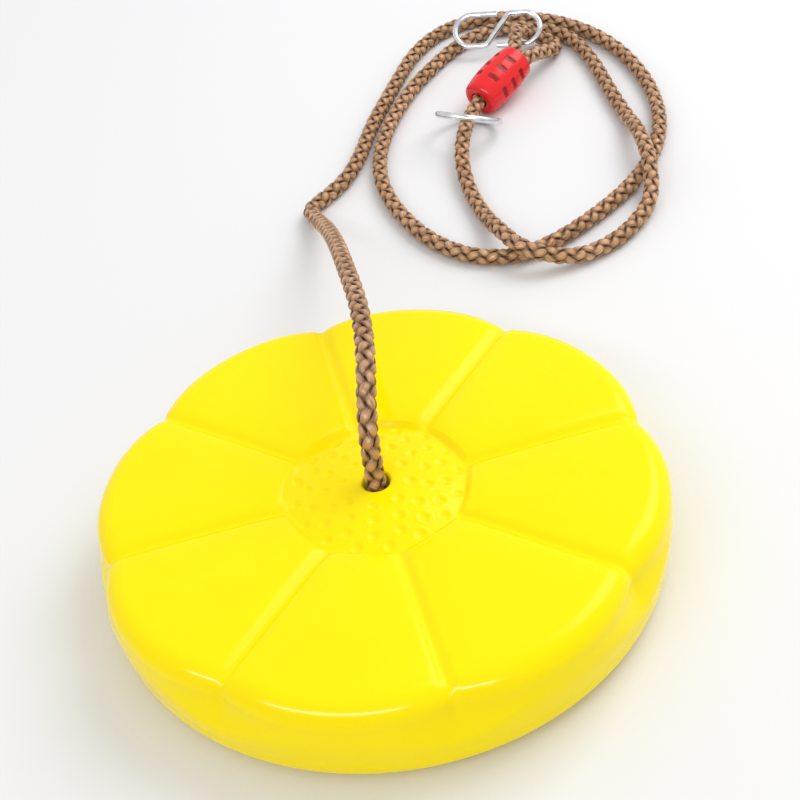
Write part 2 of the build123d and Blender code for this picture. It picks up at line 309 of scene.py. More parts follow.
# ------------------------------------------------------------------ materials
def new_material(name):
    """A material, its nodes and links, and its main shader."""
    material = bpy.data.materials.new(name)
    material.use_nodes = True
    nodes, links = material.node_tree.nodes, material.node_tree.links
    return material, nodes, links, nodes["Principled BSDF"]


def object_place(nodes):
    """Coordinates fixed to the object."""
    return nodes.new("ShaderNodeTexCoord").outputs["Object"]


def uv_layer(nodes, name):
    """Coordinates from one of the mesh's UV layers."""
    node = nodes.new("ShaderNodeUVMap")
    node.uv_map = name
    return node.outputs["UV"]


def relief_parts(nodes, links):
    """The two values that the relief layer holds, as outputs named X and Y."""
    node = nodes.new("ShaderNodeSeparateXYZ")
    links.new(uv_layer(nodes, "relief"), node.inputs[0])
    return node.outputs


def noise(nodes, links, vector, scale, detail=4.0, rough=0.5):
    """Soft random values between 0 and 1."""
    node = nodes.new("ShaderNodeTexNoise")
    node.inputs["Scale"].default_value = scale
    node.inputs["Detail"].default_value = detail
    node.inputs["Roughness"].default_value = rough
    links.new(vector, node.inputs["Vector"])
    return node.outputs["Fac"]


def scaled(nodes, links, value, factor, added=None):
    """value * factor, plus another value if there is one."""
    node = nodes.new("ShaderNodeMath")
    node.operation = "MULTIPLY" if added is None else "MULTIPLY_ADD"
    node.inputs[1].default_value = factor
    links.new(value, node.inputs[0])
    if added is not None:
        links.new(added, node.inputs[2])
    return node.outputs["Value"]


def ramp(nodes, links, value, stops):
    """Colours that blend from stop to stop."""
    node = nodes.new("ShaderNodeValToRGB")
    while len(node.color_ramp.elements) < len(stops):
        node.color_ramp.elements.new(0.5)
    for element, (place, colour) in zip(node.color_ramp.elements, stops):
        element.position = place
        element.color = (*colour, 1)
    links.new(value, node.inputs["Fac"])
    return node.outputs["Color"]


def product(nodes, links, first, second):
    """Two colours multiplied."""
    node = nodes.new("ShaderNodeMix")
    node.data_type = "RGBA"
    node.blend_type = "MULTIPLY"
    node.inputs["Factor"].default_value = 1.0
    links.new(first, node.inputs["A"])
    links.new(second, node.inputs["B"])
    return node.outputs["Result"]


def vary_roughness(nodes, links, shader, value, low, high):
    """Roughness between low and high."""
    node = nodes.new("ShaderNodeMapRange")
    node.inputs["To Min"].default_value = low
    node.inputs["To Max"].default_value = high
    links.new(value, node.inputs["Value"])
    links.new(node.outputs["Result"], shader.inputs["Roughness"])


def bump(nodes, links, shader, height, strength, distance):
    """Fine unevenness of the surface."""
    node = nodes.new("ShaderNodeBump")
    node.inputs["Strength"].default_value = strength
    node.inputs["Distance"].default_value = distance
    links.new(height, node.inputs["Height"])
    links.new(node.outputs["Normal"], shader.inputs["Normal"])


def seat_plastic():
    """Lemon yellow blow-moulded polyethylene, with a soft gloss and a faint orange peel."""
    material, nodes, links, shader = new_material("seat_plastic")
    place = object_place(nodes)
    clouds = noise(nodes, links, place, 9.0, 3.0)
    colour = ramp(nodes, links, clouds, [(0.3, (0.97, 0.755, 0.0)), (0.7, (0.98, 0.78, 0.0))])
    links.new(colour, shader.inputs["Base Color"])
    handling = noise(nodes, links, place, 60.0, 5.0)
    vary_roughness(nodes, links, shader, handling, 0.13, 0.21)
    shader.inputs["IOR"].default_value = 1.5
    shader.inputs["Specular IOR Level"].default_value = 0.13
    shader.inputs["Subsurface Weight"].default_value = 0.12
    shader.inputs["Subsurface Radius"].default_value = (1.0, 0.6, 0.05)
    shader.inputs["Subsurface Scale"].default_value = 0.006
    peel = noise(nodes, links, place, 420.0, 2.0)
    bump(nodes, links, shader, peel, 0.12, 0.0002)
    return material


def rope_fibre():
    """Silky brown filaments along each strand, with painted shade where a strand passes under another and
    towards each strand's edges.
    """
    material, nodes, links, shader = new_material("rope_fibre")
    stretch = nodes.new("ShaderNodeMapping")
    stretch.inputs["Scale"].default_value = (90.0, 16.0, 1.0)
    links.new(uv_layer(nodes, "along"), stretch.inputs["Vector"])
    filaments = noise(nodes, links, stretch.outputs["Vector"], 1.0, 3.0, 0.6)
    patches = noise(nodes, links, object_place(nodes), 45.0, 2.0)
    streaks = scaled(nodes, links, patches, 0.35, filaments)
    browns = [(0.35, (0.23, 0.10, 0.022)), (0.6, (0.39, 0.185, 0.058)), (0.85, (0.78, 0.47, 0.28))]
    colour = ramp(nodes, links, streaks, browns)
    # Painted shade: the relief layer's lift and facing darken the colour under crossing strands and along
    # their edges.
    relief = relief_parts(nodes, links)
    outward = scaled(nodes, links, relief["Y"], 0.6)
    height = scaled(nodes, links, relief["X"], 0.4, outward)
    strand_shade_stops = [(0.5, (0.14, 0.08, 0.04)), (0.76, (0.40, 0.35, 0.29)), (0.95, (1, 1, 1))]
    shade = ramp(nodes, links, height, strand_shade_stops)
    links.new(product(nodes, links, colour, shade), shader.inputs["Base Color"])
    shader.inputs["Roughness"].default_value = 0.33
    shader.inputs["Specular IOR Level"].default_value = 0.8
    shader.inputs["Specular Tint"].default_value = (1.0, 0.82, 0.68, 1)
    shader.inputs["Sheen Weight"].default_value = 0.25
    shader.inputs["Sheen Roughness"].default_value = 0.4
    shader.inputs["Sheen Tint"].default_value = (1.0, 0.75, 0.55, 1)
    bump(nodes, links, shader, filaments, 0.6, 0.0004)
    return material


def rope_core_painted_shade():
    """Inside of the plait, coloured near black as painted shade where it shows between the strands."""
    material, nodes, links, shader = new_material("rope_core_painted_shade")
    mottle = noise(nodes, links, object_place(nodes), 300.0)
    # Painted shade: near-black colour stands in for the shadow between the strands.
    colour = ramp(nodes, links, mottle, [(0.3, (0.02, 0.009, 0.003)), (0.7, (0.05, 0.022, 0.008))])
    links.new(colour, shader.inputs["Base Color"])
    shader.inputs["Roughness"].default_value = 0.9
    return material


def barrel_plastic():
    """Bright red injection-moulded plastic, with painted shade darkening it in the pockets."""
    material, nodes, links, shader = new_material("barrel_plastic")
    place = object_place(nodes)
    clouds = noise(nodes, links, place, 40.0, 3.0)
    colour = ramp(nodes, links, clouds, [(0.3, (0.72, 0.012, 0.016)), (0.7, (0.79, 0.018, 0.022))])
    # Painted shade: the pockets' depth from the relief layer darkens the red towards their floors.
    depth = relief_parts(nodes, links)["X"]
    shade = ramp(nodes, links, depth, [(0.25, (1, 1, 1)), (0.8, (0.42, 0.04, 0.03))])
    links.new(product(nodes, links, colour, shade), shader.inputs["Base Color"])
    shader.inputs["Roughness"].default_value = 0.22
    shader.inputs["Specular IOR Level"].default_value = 0.3
    shader.inputs["Subsurface Weight"].default_value = 0.05
    shader.inputs["Subsurface Radius"].default_value = (1.0, 0.2, 0.1)
    shader.inputs["Subsurface Scale"].default_value = 0.002
    bump(nodes, links, shader, noise(nodes, links, place, 700.0, 2.0), 0.1, 0.0001)
    return material


def zinc_steel():
    """Bright zinc plating with dull patches."""
    material, nodes, links, shader = new_material("zinc_steel")
    place = object_place(nodes)
    patches = noise(nodes, links, place, 160.0, 4.0)
    colour = ramp(nodes, links, patches, [(0.3, (0.56, 0.58, 0.61)), (0.7, (0.82, 0.83, 0.85))])
    links.new(colour, shader.inputs["Base Color"])
    shader.inputs["Metallic"].default_value = 1.0
    vary_roughness(nodes, links, shader, patches, 0.16, 0.34)
    bump(nodes, links, shader, noise(nodes, links, place, 900.0, 3.0), 0.15, 0.0001)
    return material


# ------------------------------------------------------------------ rope
STRANDS_EACH_WAY = 4
PLAIT_PITCH = 0.047
PLAIT_RADIUS = 0.0030
PLAIT_SWING = 0.00095
STRAND_HALF_WIDTH = 0.0022
STRAND_HALF_THICK = 0.0011
STRAND_SIDES = 10
STRAND_SWELLING = 0.12
SAMPLE_STEP = 0.0011
CORE_RADIUS = 0.0023
CORE_SIDES = 8
STRAND_PATTERN_SHIFT = 0.37
WAY_PATTERN_SHIFT = 0.19


def strand_layers(places, way, strand, swing):
    """A strand's texture coordinates, and its relief: how far it is lifted and how far it faces out."""
    shift = strand * STRAND_PATTERN_SHIFT + (WAY_PATTERN_SHIFT if way > 0 else 0)
    u = np.repeat(places, STRAND_SIDES) + shift
    v = np.abs(np.tile(np.arange(STRAND_SIDES) / STRAND_SIDES * 2, len(places)) - 1)
    # The relief feeds the painted shade in the rope's material.
    outward = 0.5 - 0.5 * np.sin(np.arange(STRAND_SIDES) * TAU / STRAND_SIDES)
    lifted = np.repeat(0.5 + 0.5 * swing, STRAND_SIDES)
    return np.stack([u, v], 1), np.stack([lifted, np.tile(outward, len(places))], 1)


def plait(name, line, start=0.0):
    """Eight flat strands plaited round a line, four each way, over one and under one."""
    along, side_x, side_y = line_frames(line, (1, 0, 0))
    places = start + length_along(line)
    turn_rate = TAU / PLAIT_PITCH
    vertices, faces, uvs, relief = [], [], [], []
    total = 0
    for way in (1, -1):
        for strand in range(STRANDS_EACH_WAY):
            angle = way * turn_rate * places + TAU * strand / STRANDS_EACH_WAY
            swing = way * np.cos(STRANDS_EACH_WAY * turn_rate * places)
            out = side_x * np.cos(angle)[:, None] + side_y * np.sin(angle)[:, None]
            round_way = np.cross(along, out)
            radius = PLAIT_RADIUS + PLAIT_SWING * swing
            strand_way = along + round_way * (way * turn_rate * radius)[:, None]
            strand_way /= np.linalg.norm(strand_way, axis=1)[:, None]
            across = np.cross(strand_way, out)
            across /= np.linalg.norm(across, axis=1)[:, None]
            swelling = 1 + STRAND_SWELLING * swing
            centres = line + out * radius[:, None]
            width, height = STRAND_HALF_WIDTH * swelling, STRAND_HALF_THICK * swelling
            points, more = swept_section(centres, strand_way, across, width, height, STRAND_SIDES, total)
            strand_uvs, strand_relief = strand_layers(places, way, strand, swing)
            vertices.append(points)
            faces += more
            uvs.append(strand_uvs)
            relief.append(strand_relief)
            total += len(points)
    strand_faces = len(faces)
    core = np.full(len(line), CORE_RADIUS)
    points, more = swept_section(line, along, side_x, core, core, CORE_SIDES, total)
    vertices.append(points)
    faces += more
    uvs.append(np.zeros((len(points), 2)))
    relief.append(np.zeros((len(points), 2)))
    made = new_mesh(name, np.concatenate(vertices), faces, np.concatenate(uvs), np.concatenate(relief))
    made.data.materials.append(ROPE_MATERIAL)
    made.data.materials.append(CORE_MATERIAL)
    slots = np.zeros(len(faces), int)
    slots[strand_faces:] = 1
    made.data.polygons.foreach_set("material_index", slots)
    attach(made, "rope_line")
    return made


def make_rope():
    """The whole rope from the hole's mouth to its end in the barrel."""
    line = evenly(nurbs_points(ROUTE + EYE), SAMPLE_STEP)
    made = plait("rope_braid", line)
    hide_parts("rope")
    return made, line


def make_stem():
    """The stretch in the seat's hole: the same plait carried on downwards."""
    length = STEM_TOP - KNOT_TOP
    count = int(round(length / SAMPLE_STEP)) + 1
    heights = np.linspace(KNOT_TOP, STEM_TOP, count)
    line = np.stack([np.zeros(count), np.zeros(count), heights], 1)
    stem = plait("stem_braid", line, start=-length)
    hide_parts("rope_stem")


# Down the middle, then one and a half turns up round itself, and the short tail.
KNOT_LINE = [
    (0, 0, 0.0245),
    (0, 0, 0.016),
    (0, 0, 0.0085),
    (0.0035, -0.001, 0.0072),
    (0.0075, 0.001, 0.0078),
    (0.0078, 0.0052, 0.0085),
    (0.0032, 0.0085, 0.0094),
    (-0.0032, 0.0085, 0.0104),
    (-0.0082, 0.0045, 0.0114),
    (-0.0088, -0.0022, 0.0126),
    (-0.0052, -0.0076, 0.0138),
    (0.0012, -0.0090, 0.0150),
    (0.0070, -0.0060, 0.0162),
    (0.0090, 0.0004, 0.0172),
    (0.0066, 0.0064, 0.0180),
    (0.0006, 0.0090, 0.0184),
    (-0.0060, 0.0070, 0.0182),
    (-0.0092, 0.0010, 0.0174),
    (-0.0086, -0.0070, 0.0156),
    (-0.0060, -0.0140, 0.0126),
    (-0.0034, -0.0200, 0.0098),
    (-0.0016, -0.0248, 0.0084),
]


def make_knot():
    """The wrapped knot under the washer."""
    line = evenly(nurbs_points(KNOT_LINE), SAMPLE_STEP)
    knot = plait("knot_braid", line)
    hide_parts("stopper_knot")


# ------------------------------------------------------------------ seat
PETALS = 8
HALF_PETAL = math.pi / PETALS
SEAT_RADIUS = 0.140
NOTCH_RADIUS = 0.133
NOTCH_SOFTNESS = math.radians(2.4)
NOTCH_DEPTH_KEPT = 0.3
NOTCH_FADE = (0.010, 0.038)
NOTCH_FILLING = 0.0085
TOP_EDGE_RADIUS = 0.011
EDGE_START_HEIGHT = SEAT_HEIGHT - TOP_EDGE_RADIUS
FOOT_RADIUS = 0.1235
# (radius, height) of three places on the side wall.
SIDE_LOW = (0.138, 0.015)
SIDE_BULGE = (0.1398, 0.030)
SIDE_TOP = (0.1386, 0.052)
SIDE_BLEND = 0.0014
SIDE_ALLOWANCE = 0.0002
FOOT_FULLNESS = 0.85
CROWN_RADIUS = 0.095
CROWN_REACH = 0.045
CROWN_DROP = 0.0006
PETAL_ROOT_DROP = 0.0009
PETAL_ROOT_WIDTH = 0.0052
# (depth, width) of each groove's line and of the soft valley round it.
GROOVE_NARROW = (0.0022, 0.0030)
GROOVE_WIDE = (0.0016, 0.0125)
GROOVE_EDGE_FADE = 0.6
GROOVE_SIDE_SHARE = 0.4
GROOVE_SIDE_END = 0.022
DOME_APOTHEM = 0.0437
DOME_CORNER_RISE = 0.0012
DOME_EDGE_HEIGHT = 0.0447
DOME_REACH = 0.0445
DOME_TOP = 0.0506
DOME_STEP_INSET = 0.0012
DOME_STEP_OUTSET = 0.0022
DOME_STEP_SINK = 0.0001
DOME_STEP_SLOPE = 0.4
DOME_PLAIN_SHARE = 0.02
# (radius of the ring, number of dimples, angle of the first).
DIMPLE_RINGS = ((0.0165, 8, 0.07), (0.0250, 13, 0.0), (0.0333, 16, 0.11), (0.0398, 16, 0.3063))
DIMPLE_RADIUS = 0.0029
DIMPLE_DEPTH = 0.0011
DIMPLE_EDGE_HEIGHT = 0.00012
DIMPLE_EDGE_PLACE = 1.25
DIMPLE_EDGE_WIDTH = 0.22
HOLE_RADIUS = 0.0066
HOLE_LIP = 0.0019
HOLE_WALL_TOP = DOME_TOP - 0.0024
RECESS_RADIUS = 0.029
RECESS_DEPTH = 0.032
RECESS_LIP = 0.0025
INSIDE_CHAMFER = 0.0008
TURN_STEPS = 640
HOLE_STEPS = 12
HOLE_LIP_STEPS = 7
DOME_STEPS = 62
DOME_DROP_STEPS = 14
PETAL_STEPS = 66
EDGE_STEPS = 22
SIDE_STEPS = 22
FOOT_STEPS = 16
UNDERSIDE_STEPS = 30
RECESS_LIP_STEPS = 6
RECESS_WALL_STEPS = 10
RECESS_CEILING_STEPS = 8


def quarter_turn(count):
    """Angles of a rounded edge after its first point."""
    return np.linspace(0, math.pi / 2, count)[1:]


def shares(count):
    """Even steps up to 1, without the 0."""
    return np.linspace(0, 1, count)[1:]


def petal_angle(turn):
    """Angle from the middle of the nearest petal, never negative."""
    step = TAU / PETALS
    return np.abs((turn + step / 2) % step - step / 2)


def outline_radius(turn):
    """Eight arcs that meet in softly rounded notches."""
    chord = NOTCH_RADIUS * math.sin(HALF_PETAL)
    rise = SEAT_RADIUS - NOTCH_RADIUS * math.cos(HALF_PETAL)
    arc = (chord**2 + rise**2) / (2 * rise)
    centre = SEAT_RADIUS - arc
    from_notch = HALF_PETAL - petal_angle(turn)
    softened = HALF_PETAL - np.sqrt(from_notch**2 + NOTCH_SOFTNESS**2) + NOTCH_SOFTNESS * NOTCH_DEPTH_KEPT
    softened = np.clip(softened, 0, HALF_PETAL)
    return centre * np.cos(softened) + np.sqrt(arc**2 - (centre * np.sin(softened)) ** 2)


def side_radius(height):
    """Parabola through the three heights of the bulging side wall."""
    (r0, z0), (r1, z1), (r2, z2) = SIDE_LOW, SIDE_BULGE, SIDE_TOP
    return (
        r0 * (height - z1) * (height - z2) / ((z0 - z1) * (z0 - z2))
        + r1 * (height - z0) * (height - z2) / ((z1 - z0) * (z1 - z2))
        + r2 * (height - z0) * (height - z1) / ((z2 - z0) * (z2 - z1))
    )


def wall_radius(turn, height):
    """The petals' outline near the top, running out into a round body lower down."""
    widened = outline_radius(turn) + NOTCH_FILLING * (1 - ease(NOTCH_FADE[0], NOTCH_FADE[1], height))
    return smooth_min(widened, side_radius(height), SIDE_BLEND) + SIDE_ALLOWANCE


def groove_depth(radius, turn):
    """How far the top is pressed in at a place, from the distance to the nearest groove."""
    away = radius * np.sin(HALF_PETAL - petal_angle(turn))
    depth = 0
    for deep, wide in (GROOVE_NARROW, GROOVE_WIDE):
        depth = depth + deep * np.exp(-((away / wide) ** 2))
    return depth


def dome_edge(turn):
    """Rounded eight-sided edge of the dome."""
    x = petal_angle(turn) / HALF_PETAL
    return DOME_APOTHEM + DOME_CORNER_RISE * x**2 * (1.5 - 0.5 * x**2)


def dome_height(radius):
    """Shallow parabola from the hole down to the dome's edge."""
    return DOME_TOP - (DOME_TOP - DOME_EDGE_HEIGHT) * (radius / DOME_REACH) ** 2


def dimples(radius, turn):
    """Rings of round dimples, each with a faint raised edge."""
    depth = np.zeros(np.broadcast(radius, turn).shape)
    x, y = radius * np.cos(turn), radius * np.sin(turn)
    for ring, count, first in DIMPLE_RINGS:
        for index in range(count):
            angle = first + TAU * index / count
            away = np.hypot(x - ring * math.cos(angle), y - ring * math.sin(angle)) / DIMPLE_RADIUS
            depth += DIMPLE_DEPTH * np.maximum(1 - away**2, 0) ** 1.5
            depth -= DIMPLE_EDGE_HEIGHT * np.exp(-(((away - DIMPLE_EDGE_PLACE) / DIMPLE_EDGE_WIDTH) ** 2))
    return depth


def petal_height(radius, turn):
    """Top of a petal before the grooves: highest halfway out, lower at its root."""
    crown = CROWN_DROP * ((radius - CROWN_RADIUS) / CROWN_REACH) ** 2
    root = PETAL_ROOT_DROP * np.exp(-(((radius - DOME_APOTHEM) / PETAL_ROOT_WIDTH) ** 2))
    return SEAT_HEIGHT - crown - root


def dome_rings(add, turn):
    """The hole's wall and lip, the dimpled dome, and the step down to the petals."""
    for height in np.linspace(RECESS_DEPTH + INSIDE_CHAMFER, HOLE_WALL_TOP, HOLE_STEPS):
        add(HOLE_RADIUS, height)
    inner = HOLE_RADIUS + HOLE_LIP
    lip_base = dome_height(inner) - HOLE_LIP
    for angle in quarter_turn(HOLE_LIP_STEPS):
        add(inner - HOLE_LIP * math.cos(angle), lip_base + HOLE_LIP * math.sin(angle))
    outer = dome_edge(turn) - DOME_STEP_INSET
    for share in shares(DOME_STEPS):
        radius = inner + (outer - inner) * share
        add(radius, dome_height(radius) - dimples(radius, turn) * ease(0, DOME_PLAIN_SHARE, share))
    petal_start = dome_edge(turn) + DOME_STEP_OUTSET
    petal_top = petal_height(petal_start, turn) - groove_depth(petal_start, turn) - DOME_STEP_SINK
    for share in shares(DOME_DROP_STEPS):
        down = ease(0, 1, share)
        across = share * DOME_STEP_SLOPE + down * (1 - DOME_STEP_SLOPE)
        lean = (DOME_STEP_INSET + DOME_STEP_OUTSET) * across
        add(outer + lean, dome_height(outer) * (1 - down) + petal_top * down)


def petal_rings(add, turn):
    """The petals with their grooves, and the rounded edge round them."""
    start = dome_edge(turn) + DOME_STEP_OUTSET
    outer = wall_radius(turn, EDGE_START_HEIGHT) - TOP_EDGE_RADIUS
    for share in shares(PETAL_STEPS):
        radius = start + (outer - start) * share
        add(radius, petal_height(radius, turn) - groove_depth(radius, turn))
    drop = petal_height(outer, turn) - EDGE_START_HEIGHT
    for angle in quarter_turn(EDGE_STEPS):
        radius = outer + TOP_EDGE_RADIUS * math.sin(angle)
        pressed = groove_depth(radius, turn) * (1 - GROOVE_EDGE_FADE * math.sin(angle) ** 2)
        height = EDGE_START_HEIGHT + drop * math.cos(angle)
        add(radius - pressed * math.sin(angle), height - pressed * math.cos(angle))


def side_rings(add, turn):
    """The side wall, where the grooves run out, and the curve under it to the foot."""
    for height in np.linspace(EDGE_START_HEIGHT, SIDE_LOW[1], SIDE_STEPS)[1:]:
        fade = GROOVE_SIDE_SHARE * ease(GROOVE_SIDE_END, EDGE_START_HEIGHT, height)
        radius = wall_radius(turn, height)
        add(radius - groove_depth(radius, turn) * fade, height)
    low = wall_radius(turn, SIDE_LOW[1])
    for angle in quarter_turn(FOOT_STEPS):
        across, up = math.cos(angle) ** FOOT_FULLNESS, math.sin(angle) ** FOOT_FULLNESS
        add(FOOT_RADIUS + (low - FOOT_RADIUS) * across, SIDE_LOW[1] * (1 - up))


def underside_rings(add):
    """The flat foot, the recess with its rounded lip, and its ceiling up to the hole."""
    for radius in np.linspace(FOOT_RADIUS, RECESS_RADIUS + RECESS_LIP, UNDERSIDE_STEPS)[1:]:
        add(radius, 0)
    for angle in quarter_turn(RECESS_LIP_STEPS):
        add(RECESS_RADIUS + RECESS_LIP * (1 - math.sin(angle)), RECESS_LIP * (1 - math.cos(angle)))
    corner = RECESS_DEPTH - RECESS_LIP
    for height in np.linspace(RECESS_LIP, corner, RECESS_WALL_STEPS)[1:]:
        add(RECESS_RADIUS, height)
    for angle in quarter_turn(RECESS_LIP_STEPS):
        add(RECESS_RADIUS - RECESS_LIP * (1 - math.cos(angle)), corner + RECESS_LIP * math.sin(angle))
    start, end = RECESS_RADIUS - RECESS_LIP, HOLE_RADIUS + INSIDE_CHAMFER
    for radius in np.linspace(start, end, RECESS_CEILING_STEPS)[1:]:
        add(radius, RECESS_DEPTH)


def make_seat():
    """The moulding as closed rings, from the hole outwards, down the side and back to the hole."""
    turn = np.arange(TURN_STEPS) * TAU / TURN_STEPS
    flat = np.zeros(TURN_STEPS)
    radii, heights = [], []

    def add(radius, height):
        radii.append(radius + flat)
        heights.append(height + flat)

    dome_rings(add, turn)
    petal_rings(add, turn)
    side_rings(add, turn)
    underside_rings(add)
    radius = np.stack(radii)
    points = np.stack([radius * np.cos(turn), radius * np.sin(turn), np.stack(heights)], 2).reshape(-1, 3)
    faces = grid_faces(len(radii), TURN_STEPS, wrap_rows=True, wrap_columns=True)
    made = new_mesh("seat_moulding", points, [face[::-1] for face in faces])
    made.data.materials.append(seat_plastic())
    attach(made, "seat")
    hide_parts("seat_disc")


# ------------------------------------------------------------------ barrel
BARREL_BORE_RADIUS = 0.0104
BARREL_HOLE_RADIUS = 0.0059
BARREL_END_WALL = 0.004
BARREL_NEAR_ROUNDING = 0.0035
BARREL_FAR_ROUNDING = 0.0012
BARREL_INSIDE_ROUNDING = 0.0004
CRIMP_POCKET_RADIUS = 0.0113
CRIMP_POCKET = (0.019, 0.033)
SLOT_COLUMNS = 6
SLOT_FIRST_TURN = math.radians(26.5)
SLOT_ROWS = 3
SLOT_PITCH = 0.0096
SLOT_MIDDLE = 0.0234
SLOT_WIDTH = 0.0090
SLOT_HEIGHT = 0.0038
SLOT_DEPTH = 0.0015
SLOT_EDGE = 0.00022
SLOT_LEAST_COSINE = 0.9
SEAM_DEPTH = 0.00018
SEAM_WIDTH = 0.00022
HALF_TURN_STEPS = 180
BODY_STEPS = 150
NEAR_ROUNDING_STEPS = 12
FAR_ROUNDING_STEPS = 7


def barrel_surface(along):
    """Outer radius of the olive shape."""
    half = BARREL_LENGTH / 2
    return BARREL_RADIUS - (BARREL_RADIUS - BARREL_END_RADIUS) * ((along - half) / half) ** 2


def slot_depth(turn, along):
    """Depth of the rows of pockets, flat at the bottom with softened edges."""
    depth = 0
    surface = barrel_surface(along)
    for row in range(SLOT_ROWS):
        up = np.abs(along - SLOT_MIDDLE - (row - (SLOT_ROWS - 1) / 2) * SLOT_PITCH)
        in_row = ease(SLOT_HEIGHT / 2 + SLOT_EDGE, SLOT_HEIGHT / 2 - SLOT_EDGE, up)
        for column in range(SLOT_COLUMNS):
            middle = math.pi / 2 + SLOT_FIRST_TURN + TAU / SLOT_COLUMNS * column
            away = (turn - middle + math.pi) % TAU - math.pi
            sideways = BARREL_RADIUS * np.abs(np.sin(away)) + BARREL_RADIUS * (np.cos(away) < 0)
            in_column = ease(SLOT_WIDTH / 2 + SLOT_EDGE, SLOT_WIDTH / 2 - SLOT_EDGE, sideways)
            flat = surface - (surface - SLOT_DEPTH) / np.maximum(np.cos(away), SLOT_LEAST_COSINE)
            depth = depth + in_row * in_column * flat
    return depth


def barrel_outside():
    """(radius, place along the axis) of the outer skin, from the near hole to the far mouth."""
    near, far = BARREL_NEAR_ROUNDING, BARREL_FAR_ROUNDING
    far_start = BARREL_LENGTH - far
    near_middle, far_middle = barrel_surface(near) - near, barrel_surface(far_start) - far
    profile = []
    for angle in np.linspace(0, math.pi / 2, NEAR_ROUNDING_STEPS):
        profile.append((near_middle + near * math.sin(angle), near * (1 - math.cos(angle))))
    for along in np.linspace(near, far_start, BODY_STEPS)[1:]:
        profile.append((barrel_surface(along), along))
    for angle in quarter_turn(FAR_ROUNDING_STEPS):
        profile.append((far_middle + far * math.cos(angle), far_start + far * math.sin(angle)))
    return profile


def barrel_inside():
    """The same for the bore, the crimp's pocket and the near hole, on the way back."""
    start, end = CRIMP_POCKET
    lip = BARREL_INSIDE_ROUNDING
    return [
        (BARREL_BORE_RADIUS + lip, BARREL_LENGTH),
        (BARREL_BORE_RADIUS + 0.3 * lip, BARREL_LENGTH - 0.3 * lip),
        (BARREL_BORE_RADIUS, BARREL_LENGTH - lip),
        (BARREL_BORE_RADIUS, end),
        (CRIMP_POCKET_RADIUS, end),
        (CRIMP_POCKET_RADIUS, start),
        (BARREL_BORE_RADIUS, start),
        (BARREL_BORE_RADIUS, BARREL_END_WALL),
        (BARREL_HOLE_RADIUS, BARREL_END_WALL),
        (BARREL_HOLE_RADIUS, 2 * lip),
        (BARREL_HOLE_RADIUS + 0.6 * lip, 0.6 * lip),
        (BARREL_HOLE_RADIUS + 2 * lip, 0),
    ]


def make_barrel_half(name, node, first_turn):
    """Half of the sleeve: its outer skin, both ends, the bore and the flat parting faces."""
    outside = barrel_outside()
    profile = np.array(outside + barrel_inside())
    turn = np.linspace(first_turn, first_turn + math.pi, HALF_TURN_STEPS + 1)
    rows, columns = len(profile), len(turn)
    radii = np.repeat(profile[:, :1], columns, 1)
    alongs = np.repeat(profile[:, 1:], columns, 1)
    skin = slice(0, len(outside))
    pockets = slot_depth(turn[None, :], alongs[skin])
    relief = np.zeros((rows, columns, 2))
    # The relief layer carries the pockets' depth for the material's painted shade.
    relief[skin, :, 0] = pockets / SLOT_DEPTH
    from_seam = np.minimum(turn - turn[0], turn[-1] - turn) * BARREL_RADIUS
    radii[skin] -= pockets + SEAM_DEPTH * np.exp(-((from_seam / SEAM_WIDTH) ** 2))[None, :]
    axis, left = np.array(BARREL_AXIS), np.array(BARREL_LEFT)
    up = np.cross(axis, left)
    points = (
        np.array(BARREL_START)
        + alongs[..., None] * axis
        + (radii * np.cos(turn))[..., None] * left
        + (radii * np.sin(turn))[..., None] * up
    ).reshape(-1, 3)
    faces = grid_faces(rows, columns, wrap_rows=True)
    faces.append([row * columns for row in range(rows)])
    faces.append([row * columns + columns - 1 for row in range(rows)][::-1])
    half = new_mesh(name, points, faces, relief=relief.reshape(-1, 2))
    flatten_ends(half)
    half.data.materials.append(BARREL_MATERIAL)
    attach(half, "rope_line")
    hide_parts(node)
    return half


# ------------------------------------------------------------------ steelware
WIRE_SIDES = 32

RING_RADIUS = 0.0206
RING_WIRE_RADIUS = 0.00225
RING_CENTRE = Vector((-0.0018, 0.3839, 0.0138))
RING_AXIS = Vector((0.150, 0.535, 0.832)).normalized()
RING_STEPS = 160
WELD_SWELLING = 0.00012
WELD_WIDTH = 0.0016

HOOK_WIRE_RADIUS = 0.002
HOOK_LOOP_RADIUS = 0.0122
HOOK_HALF_LENGTH = 0.0186
HOOK_LOOP_START = 0.0166
HOOK_TIP_GAP = 0.0003
HOOK_CROSS = 0.0074
HOOK_BEND = 0.0056
HOOK_CENTRE = Vector((0.0065, 0.4980, 0.0167))
HOOK_ALONG = heading(-2, 1.5)
HOOK_SIDE = heading(88, 0)
HOOK_TILT = math.radians(36)
HOOK_END_ROUNDING = 0.0008
HOOK_END_STEPS = 7
HOOK_STEP = 0.0005
EIGHTH_TURN = math.pi / 4


def make_ring():
    """Round wire bent to a ring, with the slight swelling of its weld."""
    turn = np.arange(RING_STEPS) * TAU / RING_STEPS
    side = RING_AXIS.orthogonal().normalized()
    other = RING_AXIS.cross(side)
    out = np.cos(turn)[:, None] * np.array(side) + np.sin(turn)[:, None] * np.array(other)
    section = np.arange(WIRE_SIDES) * TAU / WIRE_SIDES
    weld = np.exp(-(((turn - math.pi) * RING_RADIUS / WELD_WIDTH) ** 2))
    wire = (RING_WIRE_RADIUS + WELD_SWELLING * weld)[:, None, None]
    points = (
        np.array(RING_CENTRE)
        + out[:, None, :] * RING_RADIUS
        + out[:, None, :] * np.cos(section)[None, :, None] * wire
        + np.array(RING_AXIS)[None, None, :] * np.sin(section)[None, :, None] * wire
    ).reshape(-1, 3)
    faces = grid_faces(RING_STEPS, WIRE_SIDES, wrap_rows=True, wrap_columns=True)
    ring = new_mesh("ring_wire", points, faces)
    ring.data.materials.append(ZINC)
    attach(ring, "ring")
    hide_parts("hanging_ring")
    return ring


